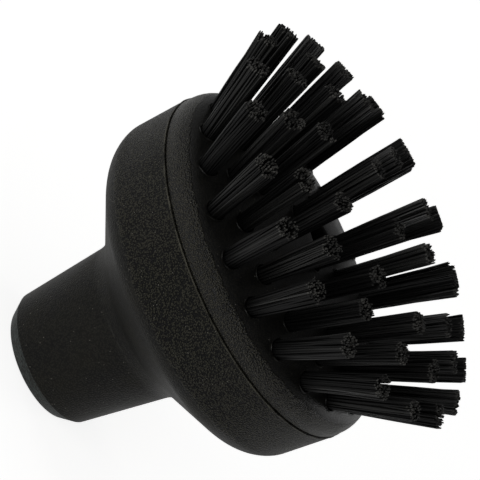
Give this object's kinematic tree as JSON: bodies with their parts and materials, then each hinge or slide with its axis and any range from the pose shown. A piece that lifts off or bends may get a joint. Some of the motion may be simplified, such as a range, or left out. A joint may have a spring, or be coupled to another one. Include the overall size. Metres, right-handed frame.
{
  "type": "round suction brush head",
  "caption": "Round brush head for a suction hose: a hollow hood with a hose socket and a domed plate of flared bristle tufts.",
  "frame": {"origin": "centre of the hose socket's mouth, in the plane of its end face", "axes": "+Z along the head's axis, from the socket's mouth to the bristles"},
  "size_m": [0.1192, 0.1192, 0.1189],
  "materials": {
    "housing_plastic": "fine spark-eroded grain",
    "plate_plastic": "matte moulded",
    "bristle_nylon": "drawn filament",
    "anchor_steel": "flat wire"
  },
  "bodies": {
    "root": {"housing": "housing_plastic", "bristle_plate": "plate_plastic", "tuft_anchors": "anchor_steel", "outer_tuft_01": "bristle_nylon", "outer_tuft_02": "bristle_nylon", "outer_tuft_03": "bristle_nylon", "outer_tuft_04": "bristle_nylon", "outer_tuft_05": "bristle_nylon", "outer_tuft_06": "bristle_nylon", "outer_tuft_07": "bristle_nylon", "outer_tuft_08": "bristle_nylon", "outer_tuft_09": "bristle_nylon", "outer_tuft_10": "bristle_nylon", "outer_tuft_11": "bristle_nylon", "outer_tuft_12": "bristle_nylon", "outer_tuft_13": "bristle_nylon", "outer_tuft_14": "bristle_nylon", "outer_tuft_15": "bristle_nylon", "outer_tuft_16": "bristle_nylon", "outer_tuft_17": "bristle_nylon", "outer_tuft_18": "bristle_nylon", "outer_tuft_19": "bristle_nylon", "outer_tuft_20": "bristle_nylon", "second_tuft_01": "bristle_nylon", "second_tuft_02": "bristle_nylon", "second_tuft_03": "bristle_nylon", "second_tuft_04": "bristle_nylon", "second_tuft_05": "bristle_nylon", "second_tuft_06": "bristle_nylon", "second_tuft_07": "bristle_nylon", "second_tuft_08": "bristle_nylon", "second_tuft_09": "bristle_nylon", "second_tuft_10": "bristle_nylon", "second_tuft_11": "bristle_nylon", "second_tuft_12": "bristle_nylon", "second_tuft_13": "bristle_nylon", "second_tuft_14": "bristle_nylon", "second_tuft_15": "bristle_nylon", "third_tuft_01": "bristle_nylon", "third_tuft_02": "bristle_nylon", "third_tuft_03": "bristle_nylon", "third_tuft_04": "bristle_nylon", "third_tuft_05": "bristle_nylon", "third_tuft_06": "bristle_nylon", "third_tuft_07": "bristle_nylon", "third_tuft_08": "bristle_nylon", "third_tuft_09": "bristle_nylon", "third_tuft_10": "bristle_nylon", "inner_tuft_01": "bristle_nylon", "inner_tuft_02": "bristle_nylon", "inner_tuft_03": "bristle_nylon", "inner_tuft_04": "bristle_nylon", "inner_tuft_05": "bristle_nylon"}
  },
  "joints": []
}
